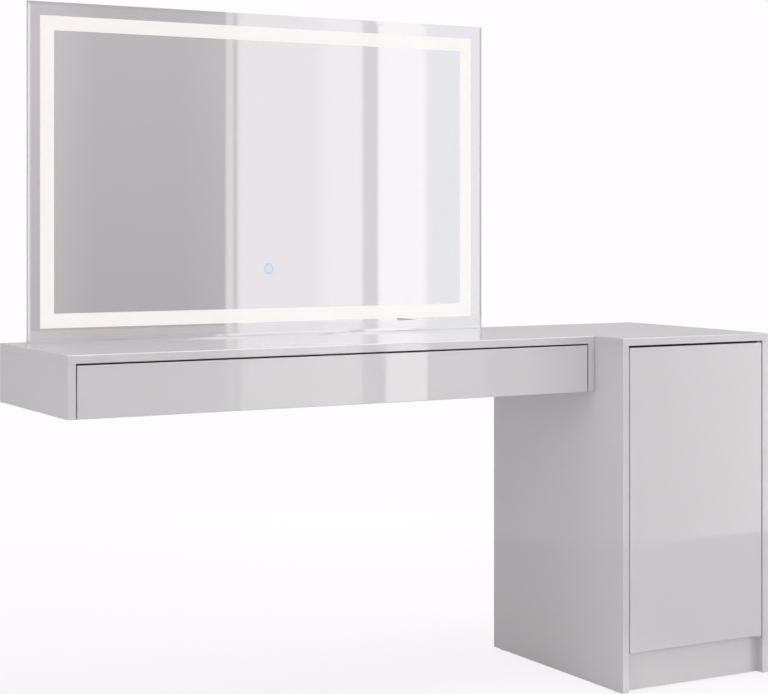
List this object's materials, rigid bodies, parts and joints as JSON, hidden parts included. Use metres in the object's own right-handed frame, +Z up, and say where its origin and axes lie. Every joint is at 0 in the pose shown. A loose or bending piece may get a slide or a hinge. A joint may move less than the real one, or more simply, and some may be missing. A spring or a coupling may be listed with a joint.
{
  "type": "dressing table",
  "caption": "Handleless gloss dressing table: wall-fixed desk with a wide push-open drawer, a floor-standing side cabinet with a hinged door, and a mirror with a lit border.",
  "frame": {"origin": "on the floor, under the middle of the table's bounding box", "axes": "+X along the table to the right as seen from the front, +Y back to the wall, +Z up"},
  "size_m": [1.6, 0.5, 1.4553],
  "materials": {
    "lacquer": "high-gloss pale grey lacquer on fibreboard",
    "melamine": "satin pale grey melamine on chipboard",
    "fibreboard": "thin fibreboard, painted white on its face",
    "beech": "plain fluted beech",
    "zinc": "die-cast zinc",
    "steel": "bright zinc-plated steel",
    "painted_steel": "steel painted in the colour of the lacquer",
    "nylon": "white nylon",
    "latch_plastic": "grey moulded acetal",
    "clear_glass": "clear float glass with a ground and polished edge",
    "silvering": "silver coat on the back of the glass",
    "opal_acrylic": "opal acrylic, lit from behind in warm white",
    "blue_light": "lit blue light guide",
    "aluminium": "natural anodised extrusion",
    "coated_sheet": "powder-coated steel sheet",
    "circuit_board": "white solder mask",
    "driver_case": "white moulded case"
  },
  "bodies": {
    "table": {"desk_top": "lacquer", "desk_left_side": "lacquer", "desk_right_side": "lacquer", "cabinet_top": "lacquer", "cabinet_left_side": "lacquer", "cabinet_right_side": "lacquer", "cabinet_plinth": "lacquer", "desk_bottom": "melamine", "desk_back_rail": "melamine", "cabinet_bottom": "melamine", "upper_shelf": "melamine", "lower_shelf": "melamine", "cabinet_back": "fibreboard", "wood_dowels": "beech", "cam_locks": "zinc", "cam_bolts": "steel", "joining_bolts": "steel", "carcass_screws": "steel", "mirror_screws": "steel", "shelf_pins": "steel", "left_runner_outer": "steel", "right_runner_outer": "steel", "door_latch_spring": "steel", "drawer_latch_spring": "steel", "pivot_plates": "painted_steel", "floor_glides": "nylon", "cable_gland": "nylon", "door_latch_housing": "latch_plastic", "drawer_latch_housing": "latch_plastic", "mirror_glass": "clear_glass", "mirror_silvering": "silvering", "light_diffuser": "opal_acrylic", "touch_symbol": "blue_light", "mirror_frame_top": "aluminium", "mirror_frame_bottom": "aluminium", "mirror_frame_left": "aluminium", "mirror_frame_right": "aluminium", "mirror_back_cover": "coated_sheet", "mirror_straps": "coated_sheet", "led_strips": "circuit_board", "touch_sensor": "circuit_board", "led_driver": "driver_case"},
    "drawer": {"drawer_front": "lacquer", "drawer_left_side": "melamine", "drawer_right_side": "melamine", "drawer_back": "melamine", "drawer_bottom": "fibreboard", "drawer_dowels": "beech", "drawer_screws": "steel", "left_runner_inner": "steel", "right_runner_inner": "steel"},
    "runner_middles": {"left_runner_middle": "steel", "right_runner_middle": "steel"},
    "outer_cages": {"outer_ball_cages": "steel"},
    "inner_cages": {"inner_ball_cages": "steel"},
    "door": {"door_panel": "lacquer", "pivot_bushes": "nylon", "door_strike_plate": "zinc"},
    "door_plunger": {"door_latch_plunger": "latch_plastic"},
    "drawer_plunger": {"drawer_latch_plunger": "latch_plastic"}
  },
  "joints": [
    {"name": "drawer_slide", "type": "slide", "parent": "table", "child": "drawer", "axis": [0, -1, 0], "range_m": [0, 0.3]},
    {"name": "middle_slide", "type": "slide", "parent": "table", "child": "runner_middles", "axis": [0, -1, 0], "range_m": [0, 0.15]},
    {"name": "outer_cage_slide", "type": "slide", "parent": "table", "child": "outer_cages", "axis": [0, -1, 0], "range_m": [0, 0.075]},
    {"name": "inner_cage_slide", "type": "slide", "parent": "table", "child": "inner_cages", "axis": [0, -1, 0], "range_m": [0, 0.225]},
    {"name": "door_swing", "type": "hinge", "parent": "table", "child": "door", "pos_m": [0.776, -0.2445, 0.4098], "axis": [0, 0, 1], "range_deg": [0, 100]},
    {"name": "door_latch_press", "type": "slide", "parent": "table", "child": "door_plunger", "axis": [0, 1, 0], "range_m": [0, 0.002], "stiffness_N_per_m": 400, "deforming": ["door_latch_spring"]},
    {"name": "drawer_latch_press", "type": "slide", "parent": "table", "child": "drawer_plunger", "axis": [0, 1, 0], "range_m": [0, 0.002], "stiffness_N_per_m": 400, "deforming": ["drawer_latch_spring"]}
  ],
  "couplings": [
    {"joint": "middle_slide", "follows": "drawer_slide", "ratio": 0.5},
    {"joint": "outer_cage_slide", "follows": "drawer_slide", "ratio": 0.25},
    {"joint": "inner_cage_slide", "follows": "drawer_slide", "ratio": 0.75}
  ]
}
